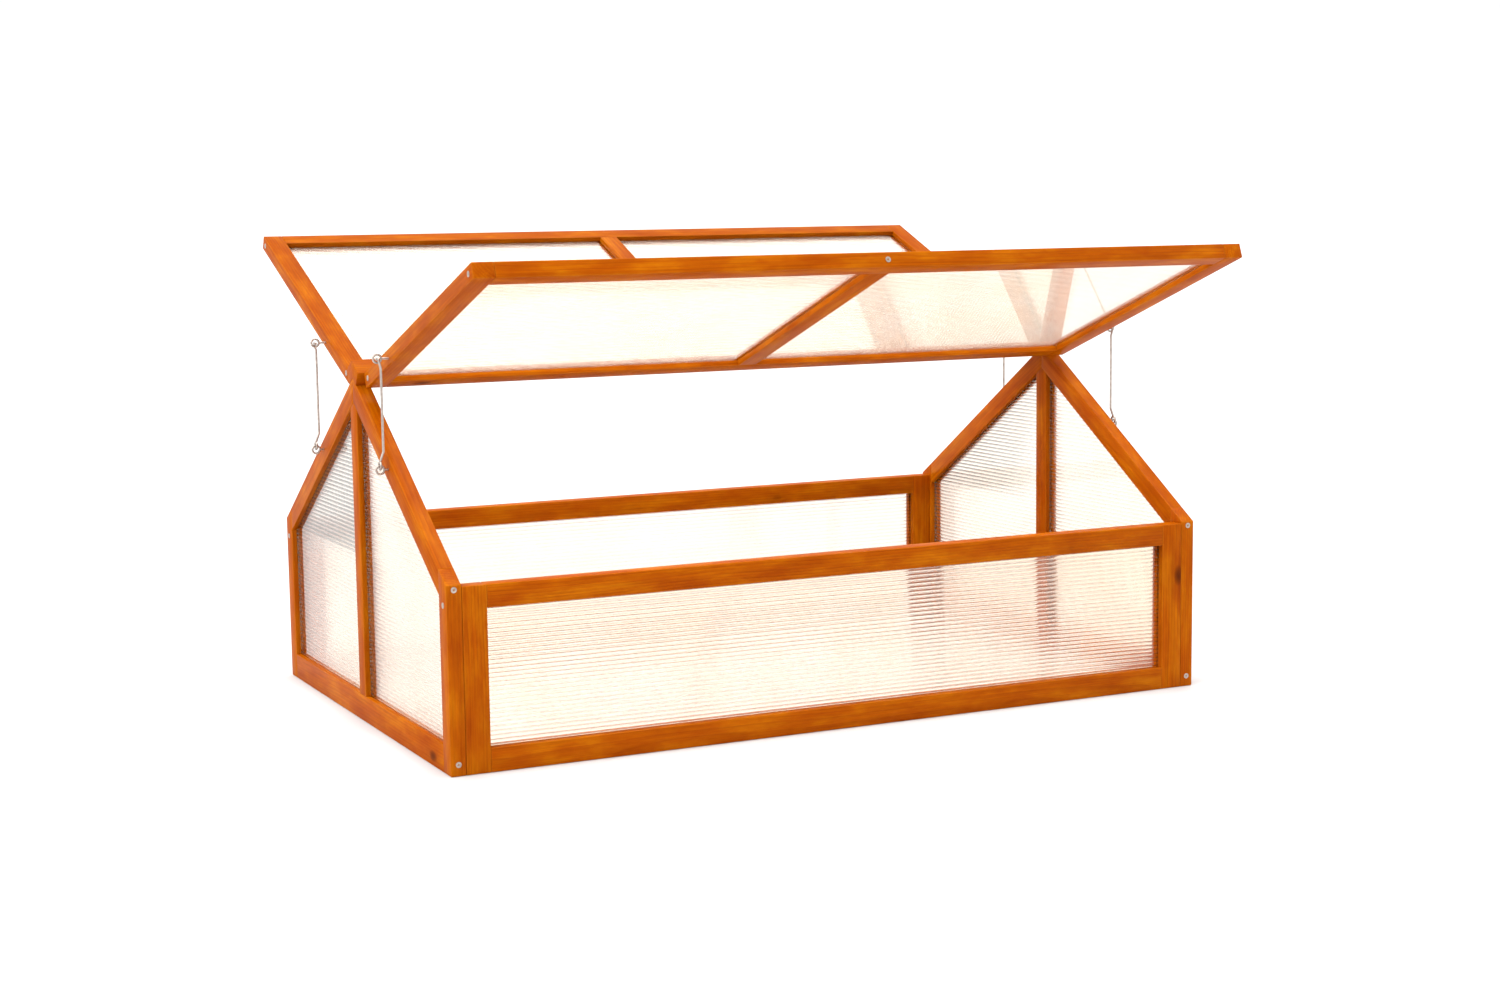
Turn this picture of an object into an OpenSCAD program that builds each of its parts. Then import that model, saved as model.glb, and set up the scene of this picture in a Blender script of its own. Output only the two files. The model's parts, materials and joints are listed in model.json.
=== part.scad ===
// Cold frame with two gull-wing lids on a low timber base.
// X runs along the length, Y front (-) to rear (+), Z up.

/* [Base] */
// overall length of the base
length = 1000; // [900:10:1200]
// depth of the base, front face to rear face
depth = 650; // [600:10:720]
// height of the outer top edge of the corner posts
eave_h = 213; // [190:1:230]
// height of the gable apex
apex_h = 420; // [400:1:440]
// thickness of the gable boards
gable_t = 18; // [16:0.5:22]
// width of the gable boards
board_w = 25; // [22:0.5:28]
// height of the gable bottom rails
sill_h = 32; // [28:1:36]
// height of the front and rear panels
panel_h = 211; // [188:1:212]
// thickness of the front and rear panels
panel_t = 22; // [18:0.5:26]
// width of the panel stiles
stile_w = 29; // [24:1:34]
// height of the panel top rails
panel_top_w = 26; // [22:1:30]
// height of the panel bottom rails
panel_low_w = 27.5; // [24:0.5:32]

/* [Lids] */
// half of the lid width
lid_half = 494; // [440:1:590]
// length of a lid along its slope
lid_len = 414; // [400:1:430]
// thickness of the lid boards
lid_t = 18; // [16:0.5:20]
// width of the lid boards
lid_w = 25; // [23:0.5:28]
// opening angle of the front lid above level
front_open = 19.7; // [10:0.1:30]
// opening angle of the rear lid above level
rear_open = 22.6; // [10:0.1:30]

/* [Sheet] */
// thickness of the glazing sheet
sheet_t = 4; // [3.5:0.1:4.5]
// how far the sheet enters its groove
rebate = 5; // [4:0.5:6]

/* [Hinges] */
// length of one butt hinge
hinge_len = 60; // [50:1:70]
// distance from the middle hinge to the outer hinges
hinge_pitch = 340; // [250:10:400]
// thickness of a hinge leaf
leaf_t = 1.2; // [1:0.1:1.5]
// radius of the hinge knuckles
knuckle_r = 2.5; // [2.3:0.1:2.7]
// radius of the hinge pin
pin_r = 1.2; // [1:0.1:1.3]

/* [Stays] */
// height of the stay pivot above the ground
stay_z = 327; // [320:1:332]
// distance of the stays from the centre plane
stay_y = 133; // [125:1:140]
// radius of the stay wire
wire_r = 1.4; // [1.2:0.1:1.5]
// radius of the eye wire
eye_wire_r = 1.3; // [1.2:0.1:1.4]
// mean radius of the eye rings
eye_ring_r = 4.8; // [4.6:0.1:5.2]

/* [Hidden] */
$fn = 48;

wood = [0.80, 0.42, 0.12];
clear_sheet = [0.95, 0.95, 0.96, 0.5];
steel = [0.80, 0.80, 0.82];

half_l = length / 2;
half_d = depth / 2;
slope = (apex_h - eave_h) / half_d;
roof_a = atan(slope);
rafter_v = board_w / cos(roof_a);
gable_in = half_l - gable_t;
gap = 0.3;
groove_play = 0.2;
panel_x = gable_in - gap;
muntin_w = board_w;

// hinge line: height above the lid underside, and distance along the slope from the apex
axis_n = lid_t + leaf_t / 2;
seat_gap = 0.4;
ridge_s = 18.6;
lid_s = 3;
hinge_y = ridge_s * cos(roof_a) + (axis_n + seat_gap) * sin(roof_a);
hinge_z = apex_h - ridge_s * sin(roof_a) + (axis_n + seat_gap) * cos(roof_a);
leaf_w = 20;
leaf_w_fixed = 14.5;
pin_play = 0.05;
third = hinge_len / 3;
knuckle_gap = 0.2;
leaf_screw_fixed = -9.5;
leaf_screw_moving = 14;
leaf_screw_head_r = 2.2;
leaf_screw_head_t = 1.5;
leaf_screw_sink = 1.1;
leaf_screw_r = 1;
leaf_screw_len = 11;
leaf_hole_play = 0.05;
leaf_root = 1;

screw_head_r = 3.4;
screw_head_t = 2.4;
screw_proud = 0.5;
screw_r = 1.9;
screw_len = 35;
post_screw_top_len = 25;
screw_play = 0.1;
post_screw_top = 208;
post_screw_low = 13;
side_screw_z = 190;
side_screw_y = half_d - 11;
lid_screw_n = lid_t / 2 - axis_n;
lid_screw_in = 12.5;

eye_frame_x = half_l + 10;
eye_lid_x = lid_half + 14;
stay_run_x = half_l + 5.5;
loop_r = 4.2;
stay_len = 119;
stay_low_bend = 16;
stay_high_bend = 10;
stay_tip_len = 9;
stay_bend_round = 0.06;
eye_set_back = 5;
eye_rise_base = 0.8;
stay_tip_drop = 2;
ridge_skirt = 2.5;
ridge_overlap = 1;
lid_eye_y = stay_y - eye_set_back;
lid_eye_z = stay_z + stay_len + eye_rise_base;
eye_shank_in = 12;

function roof_z(y) = apex_h - slope * abs(y);

// how far the free edge of an open lid stands from the centre plane
function lid_reach(angle) = hinge_y + (lid_s + lid_len) * cos(angle) + axis_n * sin(angle);

// a profile drawn in Y and Z, running from x0 to x1
module bar_x(x0, x1, pts) {
  translate([x0, 0, 0]) rotate([90, 0, 90]) linear_extrude(height = x1 - x0) polygon(pts);
}

// a block from its low corner to its high corner
module block(lo, hi) {
  translate(lo) cube([hi[0] - lo[0], hi[1] - lo[1], hi[2] - lo[2]]);
}

// a wire between two points
module wire(a, b, r) {
  d = b - a;
  l = norm(d);
  translate(a) rotate([0, acos(d[2] / l), atan2(d[1], d[0])]) cylinder(h = l, r = r);
}

// a screw along +X with its head face at x = 0 and its point towards -X
module screw_x(grow, len = screw_len) {
  rotate([0, -90, 0]) translate([0, 0, -screw_proud]) {
    cylinder(h = screw_head_t + grow, r = screw_head_r + grow);
    cylinder(h = len + screw_proud + grow, r = screw_r + grow);
  }
}

// ---- base ----
module mirror_if(x_neg, y_neg) {
  mirror([x_neg ? 1 : 0, 0, 0]) mirror([0, y_neg ? 1 : 0, 0]) children();
}

// gable pieces are drawn at +X and on the +Y side
module gable_pane_shape(grow) {
  y0 = muntin_w / 2 - rebate - grow;
  y1 = half_d - board_w + rebate + grow;
  rise = (rebate + grow) / cos(roof_a) - rafter_v;
  x0 = half_l - gable_t / 2 - sheet_t / 2 - grow;
  bar_x(x0, x0 + sheet_t + 2 * grow, [
    [y0, sill_h - rebate - grow], [y1, sill_h - rebate - grow],
    [y1, roof_z(y1) + rise], [y0, roof_z(y0) + rise]]);
}

module post_face_screws(grow) {
  translate([half_l - gable_t / 2, half_d, post_screw_low]) rotate([0, 0, 90]) screw_x(grow);
  translate([half_l - gable_t / 2, half_d, post_screw_top]) rotate([0, 0, 90])
    screw_x(grow, post_screw_top_len);
}

module side_screw(grow) {
  translate([half_l, side_screw_y, side_screw_z]) screw_x(grow);
}

module frame_eye(grow) {
  z0 = stay_z - eye_ring_r;
  translate([eye_frame_x, stay_y, z0]) rotate([90, 0, 0])
    rotate_extrude() translate([eye_ring_r, 0]) circle(r = eye_wire_r, $fn = 24);
  wire([half_l - eye_shank_in, stay_y, z0],
    [eye_frame_x - eye_ring_r, stay_y, z0], eye_wire_r + grow);
}

module gable_post() {
  y0 = half_d - board_w;
  difference() {
    bar_x(gable_in, half_l, [[y0, 0], [half_d, 0], [half_d, roof_z(half_d)], [y0, roof_z(y0)]]);
    gable_pane_shape(groove_play);
    post_face_screws(screw_play);
    side_screw(screw_play);
  }
}

module gable_sill() {
  y0 = half_d - board_w;
  difference() {
    block([gable_in, -y0, 0], [half_l, y0, sill_h]);
    for (m = [0, 1]) mirror([0, m, 0]) {
      gable_pane_shape(groove_play);
      post_face_screws(screw_play);
    }
  }
}

module gable_rafter() {
  y0 = half_d - board_w;
  difference() {
    bar_x(gable_in, half_l, [[0, apex_h - rafter_v], [y0, roof_z(y0) - rafter_v],
      [y0, roof_z(y0)], [0, apex_h]]);
    gable_pane_shape(groove_play);
    post_face_screws(screw_play);
    frame_eye(screw_play);
  }
}

module gable_mullion() {
  w = muntin_w / 2;
  z1 = roof_z(w) - rafter_v;
  difference() {
    bar_x(gable_in, half_l, [[-w, sill_h], [w, sill_h], [w, z1], [0, apex_h - rafter_v], [-w, z1]]);
    for (m = [0, 1]) mirror([0, m, 0]) gable_pane_shape(groove_play);
  }
}

// front and rear panels are drawn on the +Y side
module panel_pane_shape(grow) {
  y0 = half_d - panel_t / 2 - sheet_t / 2 - grow;
  x1 = panel_x - stile_w + rebate + grow;
  block([-x1, y0, panel_low_w - rebate - grow],
    [x1, y0 + sheet_t + 2 * grow, panel_h - panel_top_w + rebate + grow]);
}

module panel_stile() {
  difference() {
    block([panel_x - stile_w, half_d - panel_t, 0], [panel_x, half_d, panel_h]);
    panel_pane_shape(groove_play);
    side_screw(screw_play);
  }
}

module panel_rail(z0, z1) {
  x1 = panel_x - stile_w;
  difference() {
    block([-x1, half_d - panel_t, z0], [x1, half_d, z1]);
    panel_pane_shape(groove_play);
  }
}

// point on the roof section: distance down the slope, height above the roof plane
function roof_p(s, n, m) =
  [m * (s * cos(roof_a) + n * sin(roof_a)), apex_h - s * sin(roof_a) + n * cos(roof_a)];

module ridge_beam_shape() {
  s = ridge_s - lid_s;
  flat_z = roof_p(s, 0, 1)[1] - ridge_skirt;
  top_n = lid_t + seat_gap;
  difference() {
    union() {
      bar_x(-half_l, half_l, [[0, apex_h], roof_p(s, 0, 1), roof_p(s, top_n, 1),
        [0, apex_h + top_n / cos(roof_a)], roof_p(s, top_n, -1), roof_p(s, 0, -1)]);
      bar_x(-panel_x, panel_x, [[-roof_p(s, 0, 1)[0], flat_z], [roof_p(s, 0, 1)[0], flat_z],
        roof_p(s, 0, 1), [0, apex_h + ridge_overlap], roof_p(s, 0, -1)]);
    }
    for (m = [0, 1]) mirror([0, m, 0]) hinge_frame() fixed_leaf_screws(screw_play);
  }
}

// hinge frame on the +Y side with the lid closed: Y down the slope, Z away from the roof
module hinge_frame() {
  translate([0, hinge_y, hinge_z]) rotate([-roof_a, 0, 0]) children();
}

module knuckle(x0, x1) {
  translate([x0, 0, 0]) rotate([0, 90, 0]) cylinder(h = x1 - x0, r = knuckle_r);
}

module pin_hole() {
  rotate([0, 90, 0]) translate([0, 0, -hinge_len]) cylinder(h = 2 * hinge_len, r = pin_r + pin_play);
}

module small_screw(grow) {
  translate([0, 0, leaf_t / 2 - leaf_screw_sink])
    cylinder(h = leaf_screw_head_t, r = leaf_screw_head_r + grow);
  translate([0, 0, leaf_t / 2 - leaf_screw_len]) cylinder(h = leaf_screw_len, r = leaf_screw_r + grow);
}

module fixed_leaf_screws(grow) {
  for (i = [-1, 0, 1], k = [-1, 1]) {
    translate([i * hinge_pitch + k * third, leaf_screw_fixed, 0]) small_screw(grow);
  }
}

module moving_leaf_screws(grow) {
  for (i = [-1, 0, 1], k = [-1, 1]) {
    translate([i * hinge_pitch + k * third, leaf_screw_moving, 0]) small_screw(grow);
  }
}

module fixed_leaf() {
  h = hinge_len / 2;
  x0 = third / 2 + knuckle_gap;
  difference() {
    union() {
      knuckle(-h, -x0);
      knuckle(x0, h);
      block([-h, -leaf_w_fixed, -leaf_t / 2], [h, -lid_s, leaf_t / 2]);
      block([-h, -lid_s - leaf_root, -leaf_t / 2], [-x0, 0, leaf_t / 2]);
      block([x0, -lid_s - leaf_root, -leaf_t / 2], [h, 0, leaf_t / 2]);
    }
    pin_hole();
  }
}

module moving_leaf() {
  h = hinge_len / 2;
  x0 = third / 2 - knuckle_gap;
  difference() {
    union() {
      knuckle(-x0, x0);
      block([-h, lid_s, -leaf_t / 2], [h, leaf_w, leaf_t / 2]);
      block([-x0, 0, -leaf_t / 2], [x0, lid_s + leaf_root, leaf_t / 2]);
    }
    pin_hole();
  }
}

// ---- lids: hinge line at the origin, Y away from the ridge, Z out of the weather face ----
lid_low = -axis_n;
lid_top = lid_t - axis_n;
lid_end = lid_s + lid_len;

module lid_pane_shape(grow) {
  n0 = lid_low + lid_t / 2 - sheet_t / 2 - grow;
  block([muntin_w / 2 - rebate - grow, lid_s + lid_w - rebate - grow, n0],
    [lid_half - lid_w + rebate + grow, lid_end - lid_w + rebate + grow, n0 + sheet_t + 2 * grow]);
}

module lid_corner_screws(grow) {
  for (s = [lid_s + lid_screw_in, lid_end - lid_screw_in]) {
    translate([lid_half, s, lid_screw_n]) screw_x(grow);
  }
}

module lid_muntin_screw(grow) {
  translate([0, lid_end, lid_screw_n]) rotate([0, 0, 90]) screw_x(grow);
}

// opened lid on the +Y side
module opened(angle) {
  translate([0, hinge_y, hinge_z]) rotate([angle, 0, 0]) children();
}

// the lid eye hangs level with the stay tip in the opened position
module lid_eye(grow) {
  translate([eye_lid_x, lid_eye_y, lid_eye_z]) rotate([90, 0, 0])
    rotate_extrude() translate([eye_ring_r, 0]) circle(r = eye_wire_r, $fn = 24);
  wire([lid_half - eye_shank_in, lid_eye_y, lid_eye_z],
    [eye_lid_x - eye_ring_r, lid_eye_y, lid_eye_z], eye_wire_r + grow);
}

module lid_side_rail(angle) {
  difference() {
    opened(angle) difference() {
      block([lid_half - lid_w, lid_s, lid_low], [lid_half, lid_end, lid_top]);
      lid_pane_shape(groove_play);
      lid_corner_screws(screw_play);
    }
    translate([0, 0, eye_rise(angle)]) lid_eye(screw_play);
  }
}

module lid_cross_rail(s) {
  x1 = lid_half - lid_w;
  difference() {
    block([-x1, s, lid_low], [x1, s + lid_w, lid_top]);
    for (m = [0, 1]) mirror([m, 0, 0]) {
      lid_pane_shape(groove_play);
      lid_corner_screws(screw_play);
    }
    lid_muntin_screw(screw_play);
    if (s < lid_len / 2) moving_leaf_screws(screw_play);
  }
}

module lid_muntin() {
  w = muntin_w / 2;
  difference() {
    block([-w, lid_s + lid_w, lid_low], [w, lid_end - lid_w, lid_top]);
    for (m = [0, 1]) mirror([m, 0, 0]) lid_pane_shape(groove_play);
    lid_muntin_screw(screw_play);
  }
}

module lid_screws() {
  for (m = [0, 1]) mirror([m, 0, 0]) lid_corner_screws(0);
  lid_muntin_screw(0);
  moving_leaf_screws(0);
}

// the eye of a lid that opens further sits higher, so its stay is longer
function mid_z(angle) =
  hinge_z + (lid_eye_y - hinge_y) * tan(angle) + lid_screw_n / cos(angle);
function eye_rise(angle) = mid_z(angle) - lid_eye_z - stay_tip_drop;

// stay on the +X, +Y side: a loop on the frame eye, a leaning wire and a level tip
module stay(angle) {
  top = stay_z + stay_len + eye_rise(angle);
  low_p = [stay_run_x, stay_y, stay_z + stay_low_bend];
  high_p = [stay_run_x, stay_y, top - stay_high_bend];
  tip_p = [eye_lid_x, stay_y, top];
  loop_p = [eye_frame_x, stay_y, stay_z + loop_r];
  translate([eye_frame_x, stay_y, stay_z]) rotate([0, 90, 0])
    rotate_extrude() translate([loop_r, 0]) circle(r = wire_r, $fn = 24);
  wire(loop_p, low_p, wire_r);
  wire(low_p, high_p, wire_r);
  wire(high_p, tip_p, wire_r);
  wire(tip_p, [eye_lid_x, stay_y - stay_tip_len, top], wire_r);
  for (p = [low_p, high_p, tip_p]) translate(p) sphere(r = wire_r + stay_bend_round, $fn = 24);
}

module base_screws() {
  for (a = [0, 1], b = [0, 1]) mirror_if(a == 1, b == 1) {
    post_face_screws(0);
    side_screw(0);
  }
  for (m = [0, 1]) mirror([0, m, 0]) hinge_frame() fixed_leaf_screws(0);
}

module fixed_hinge_leaves() {
  for (m = [0, 1], i = [-1, 0, 1]) mirror([0, m, 0]) hinge_frame()
    translate([i * hinge_pitch, 0, 0]) difference() {
      fixed_leaf();
      translate([-i * hinge_pitch, 0, 0]) fixed_leaf_screws(leaf_hole_play);
    }
}

module pin_rods() {
  for (m = [0, 1], i = [-1, 0, 1]) mirror([0, m, 0]) translate([i * hinge_pitch, hinge_y, hinge_z])
    rotate([0, 90, 0]) translate([0, 0, -hinge_len / 2]) cylinder(h = hinge_len, r = pin_r);
}

module lid_hinge_leaves() {
  for (i = [-1, 0, 1]) translate([i * hinge_pitch, 0, 0]) difference() {
    moving_leaf();
    translate([-i * hinge_pitch, 0, 0]) moving_leaf_screws(leaf_hole_play);
  }
}

module front_open_lid() {
  mirror([0, 1, 0]) opened(front_open) children();
}

module rear_open_lid() {
  opened(rear_open) children();
}

// ---- nodes ----
// the origin is under the middle of the box that the open frame fills
module placed() {
  translate([0, (lid_reach(front_open) - lid_reach(rear_open)) / 2, 0]) children();
}

module left_post_front() { color(wood) placed() mirror_if(true, true) gable_post(); }
module left_post_rear() { color(wood) placed() mirror_if(true, false) gable_post(); }
module left_sill() { color(wood) placed() mirror_if(true, false) gable_sill(); }
module left_rafter_front() { color(wood) placed() mirror_if(true, true) gable_rafter(); }
module left_rafter_rear() { color(wood) placed() mirror_if(true, false) gable_rafter(); }
module left_mullion() { color(wood) placed() mirror_if(true, false) gable_mullion(); }
module left_pane_front() { color(clear_sheet) placed() mirror_if(true, true) gable_pane_shape(0); }
module left_pane_rear() { color(clear_sheet) placed() mirror_if(true, false) gable_pane_shape(0); }
module right_post_front() { color(wood) placed() mirror_if(false, true) gable_post(); }
module right_post_rear() { color(wood) placed() gable_post(); }
module right_sill() { color(wood) placed() gable_sill(); }
module right_rafter_front() { color(wood) placed() mirror_if(false, true) gable_rafter(); }
module right_rafter_rear() { color(wood) placed() gable_rafter(); }
module right_mullion() { color(wood) placed() gable_mullion(); }
module right_pane_front() { color(clear_sheet) placed() mirror_if(false, true) gable_pane_shape(0); }
module right_pane_rear() { color(clear_sheet) placed() gable_pane_shape(0); }

module front_stile_left() { color(wood) placed() mirror_if(true, true) panel_stile(); }
module front_stile_right() { color(wood) placed() mirror_if(false, true) panel_stile(); }
module front_top_rail() {
  color(wood) placed() mirror_if(false, true) panel_rail(panel_h - panel_top_w, panel_h);
}
module front_low_rail() { color(wood) placed() mirror_if(false, true) panel_rail(0, panel_low_w); }
module front_pane() { color(clear_sheet) placed() mirror_if(false, true) panel_pane_shape(0); }
module rear_stile_left() { color(wood) placed() mirror_if(true, false) panel_stile(); }
module rear_stile_right() { color(wood) placed() panel_stile(); }
module rear_top_rail() { color(wood) placed() panel_rail(panel_h - panel_top_w, panel_h); }
module rear_low_rail() { color(wood) placed() panel_rail(0, panel_low_w); }
module rear_pane() { color(clear_sheet) placed() panel_pane_shape(0); }

module ridge_beam() { color(wood) placed() ridge_beam_shape(); }
module hinge_leaves_fixed() { color(steel) placed() fixed_hinge_leaves(); }
module hinge_pins() { color(steel) placed() pin_rods(); }
module frame_eyes() {
  color(steel) placed() for (a = [0, 1], b = [0, 1]) mirror_if(a == 1, b == 1) frame_eye(0);
}
module frame_screws() { color(steel) placed() base_screws(); }

module front_lid_rail_left() { color(wood) placed() mirror_if(true, true) lid_side_rail(front_open); }
module front_lid_rail_right() { color(wood) placed() mirror_if(false, true) lid_side_rail(front_open); }
module front_lid_ridge_rail() { color(wood) placed() front_open_lid() lid_cross_rail(lid_s); }
module front_lid_free_rail() { color(wood) placed() front_open_lid() lid_cross_rail(lid_end - lid_w); }
module front_lid_muntin() { color(wood) placed() front_open_lid() lid_muntin(); }
module front_lid_pane_left() {
  color(clear_sheet) placed() front_open_lid() mirror([1, 0, 0]) lid_pane_shape(0);
}
module front_lid_pane_right() { color(clear_sheet) placed() front_open_lid() lid_pane_shape(0); }
module front_lid_hinge_leaves() { color(steel) placed() front_open_lid() lid_hinge_leaves(); }
module front_lid_screws() { color(steel) placed() front_open_lid() lid_screws(); }
module front_lid_eyes() {
  color(steel) placed() for (a = [0, 1]) mirror_if(a == 1, true)
    translate([0, 0, eye_rise(front_open)]) lid_eye(0);
}

module rear_lid_rail_left() { color(wood) placed() mirror_if(true, false) lid_side_rail(rear_open); }
module rear_lid_rail_right() { color(wood) placed() lid_side_rail(rear_open); }
module rear_lid_ridge_rail() { color(wood) placed() rear_open_lid() lid_cross_rail(lid_s); }
module rear_lid_free_rail() { color(wood) placed() rear_open_lid() lid_cross_rail(lid_end - lid_w); }
module rear_lid_muntin() { color(wood) placed() rear_open_lid() lid_muntin(); }
module rear_lid_pane_left() {
  color(clear_sheet) placed() rear_open_lid() mirror([1, 0, 0]) lid_pane_shape(0);
}
module rear_lid_pane_right() { color(clear_sheet) placed() rear_open_lid() lid_pane_shape(0); }
module rear_lid_hinge_leaves() { color(steel) placed() rear_open_lid() lid_hinge_leaves(); }
module rear_lid_screws() { color(steel) placed() rear_open_lid() lid_screws(); }
module rear_lid_eyes() {
  color(steel) placed() for (a = [0, 1]) mirror_if(a == 1, false)
    translate([0, 0, eye_rise(rear_open)]) lid_eye(0);
}

module stay_front_left() { color(steel) placed() mirror_if(true, true) stay(front_open); }
module stay_front_right() { color(steel) placed() mirror_if(false, true) stay(front_open); }
module stay_rear_left() { color(steel) placed() mirror_if(true, false) stay(rear_open); }
module stay_rear_right() { color(steel) placed() stay(rear_open); }

left_post_front();
left_post_rear();
left_sill();
left_rafter_front();
left_rafter_rear();
left_mullion();
left_pane_front();
left_pane_rear();
right_post_front();
right_post_rear();
right_sill();
right_rafter_front();
right_rafter_rear();
right_mullion();
right_pane_front();
right_pane_rear();
front_stile_left();
front_stile_right();
front_top_rail();
front_low_rail();
front_pane();
rear_stile_left();
rear_stile_right();
rear_top_rail();
rear_low_rail();
rear_pane();
ridge_beam();
hinge_leaves_fixed();
hinge_pins();
frame_eyes();
frame_screws();
front_lid_rail_left();
front_lid_rail_right();
front_lid_ridge_rail();
front_lid_free_rail();
front_lid_muntin();
front_lid_pane_left();
front_lid_pane_right();
front_lid_hinge_leaves();
front_lid_screws();
front_lid_eyes();
rear_lid_rail_left();
rear_lid_rail_right();
rear_lid_ridge_rail();
rear_lid_free_rail();
rear_lid_muntin();
rear_lid_pane_left();
rear_lid_pane_right();
rear_lid_hinge_leaves();
rear_lid_screws();
rear_lid_eyes();
stay_front_left();
stay_front_right();
stay_rear_left();
stay_rear_right();
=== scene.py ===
# %% [markdown]
# # A cold frame with two gull-wing lids
# The real thing is a low box of stained fir: two gables, a front and a rear panel, a ridge beam, and two
# framed lids that stand open on wire stays. Every frame holds a sheet of 4 mm twin-wall plastic. The
# measured model is loaded first and fixes every size. The boards, sheets and screws are then modelled
# again, by hand operations, so that they get eased arrises, grooves, hollow flutes and cross recesses. The
# hinges, eyes and stays already have their real shape, so they stay, and get a better metal.

# %% Load the measured model
import json
from math import atan2, cos, degrees, floor, pi, radians, sin, tan

import bmesh
import bpy
from mathutils import Matrix, Vector


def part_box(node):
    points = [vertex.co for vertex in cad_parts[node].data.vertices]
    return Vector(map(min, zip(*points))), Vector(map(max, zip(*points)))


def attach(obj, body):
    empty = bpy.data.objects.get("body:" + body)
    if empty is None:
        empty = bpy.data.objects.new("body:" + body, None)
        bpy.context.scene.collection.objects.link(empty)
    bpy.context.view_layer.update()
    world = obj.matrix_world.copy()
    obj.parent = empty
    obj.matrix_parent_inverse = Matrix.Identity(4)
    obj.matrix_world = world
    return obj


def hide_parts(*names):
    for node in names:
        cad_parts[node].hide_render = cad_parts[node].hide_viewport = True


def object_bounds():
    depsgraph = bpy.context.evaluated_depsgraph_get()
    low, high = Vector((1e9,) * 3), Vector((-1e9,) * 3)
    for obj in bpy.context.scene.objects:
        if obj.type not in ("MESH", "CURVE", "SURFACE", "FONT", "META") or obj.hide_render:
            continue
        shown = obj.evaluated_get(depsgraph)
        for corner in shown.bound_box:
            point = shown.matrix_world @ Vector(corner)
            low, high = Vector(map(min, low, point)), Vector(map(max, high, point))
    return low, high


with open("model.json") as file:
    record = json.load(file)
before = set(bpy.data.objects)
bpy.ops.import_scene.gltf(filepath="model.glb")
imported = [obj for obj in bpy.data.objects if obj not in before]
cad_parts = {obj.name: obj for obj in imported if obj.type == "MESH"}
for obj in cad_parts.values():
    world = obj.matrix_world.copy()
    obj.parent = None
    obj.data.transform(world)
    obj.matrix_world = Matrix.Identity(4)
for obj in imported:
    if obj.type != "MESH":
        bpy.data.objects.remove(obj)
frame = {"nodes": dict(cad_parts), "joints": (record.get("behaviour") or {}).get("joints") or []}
cad_low, cad_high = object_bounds()
bpy.ops.object.select_all(action="DESELECT")
MM = 0.001
joints = {j["name"]: j for j in frame["joints"]}
print("measured box, mm:", [round(v / MM, 1) for v in cad_high - cad_low])

# %% [markdown]
# ## Camera
# The frame is seen from its front left corner, from a little above the lids, through a lens slightly
# longer than a normal one. The camera is tipped down a few degrees, so the uprights lean together very
# slightly towards the floor. Its place is given in the same metres as the model.

# %% Camera
eye = Vector((-1.3136, -2.7312, 0.6256))
heading = radians(26.168)
pitch = radians(-7.28)
roll = radians(-0.725)
ahead = Vector((sin(heading) * cos(pitch), cos(heading) * cos(pitch), sin(pitch)))
right = Vector((cos(heading), -sin(heading), 0))
up = right.cross(ahead)
cam_x = right * cos(roll) + up * sin(roll)
cam_y = up * cos(roll) - right * sin(roll)
lens_data = bpy.data.cameras.new("studio_lens")
lens_data.sensor_width = 36
lens_data.lens = 56.3
camera = bpy.data.objects.new("studio_camera", lens_data)
bpy.context.scene.collection.objects.link(camera)
turn = Matrix((cam_x, cam_y, -ahead)).transposed().to_4x4()
camera.matrix_world = Matrix.Translation(eye) @ turn
bpy.context.scene.camera = camera
print("camera stands", round((Vector((0, 0, 0.2)) - eye).length, 2), "m from the frame")

# %% [markdown]
# ## Light
# A white sweep and a broad soft light give the even, almost shadowless look of a catalogue studio. A dome
# of light alone would flatten the boards, so two wide suns shape them: one from the left, which lifts the
# gable faces, and one from overhead, which makes the upper faces the lightest. A sun lights the whole
# sweep alike, where a lamp would leave a pool. The light has to cross many walls of clear plastic and is
# thrown back and forth inside them, so paths are allowed many more turns than usual, or the sheets would
# come out grey.

# %% Floor, dome and suns
FLOOR_SIZE = 400
FLOOR_DROP = 0.4 * MM
bpy.ops.mesh.primitive_plane_add(size=FLOOR_SIZE, location=(0, 0, cad_low.z - FLOOR_DROP))
floor_sheet = bpy.context.object
floor_sheet.name = "studio_floor"
paper = bpy.data.materials.new("sweep_paper")
paper.use_nodes = True
paper_shader = paper.node_tree.nodes["Principled BSDF"].inputs
paper_shader["Base Color"].default_value = (0.68, 0.68, 0.68, 1)
paper_shader["Roughness"].default_value = 0.9
paper_shader["Specular IOR Level"].default_value = 0.0
floor_sheet.data.materials.append(paper)

DOME = 1.03
SUN_WIDTH = radians(50)
SUNS = (
    ("side_sun", 1.8, (0.9, 0.2, -0.8)),
    ("top_sun", 2.0, (-0.15, -0.1, -1.0)),
)
PATH_TURNS = 48
dome = bpy.data.worlds.new("studio_dome")
dome.use_nodes = True
sky = dome.node_tree.nodes["Background"].inputs
sky["Color"].default_value = (1, 1, 1, 1)
sky["Strength"].default_value = DOME
bpy.context.scene.world = dome
bpy.context.scene.view_settings.view_transform = "Standard"

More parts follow.
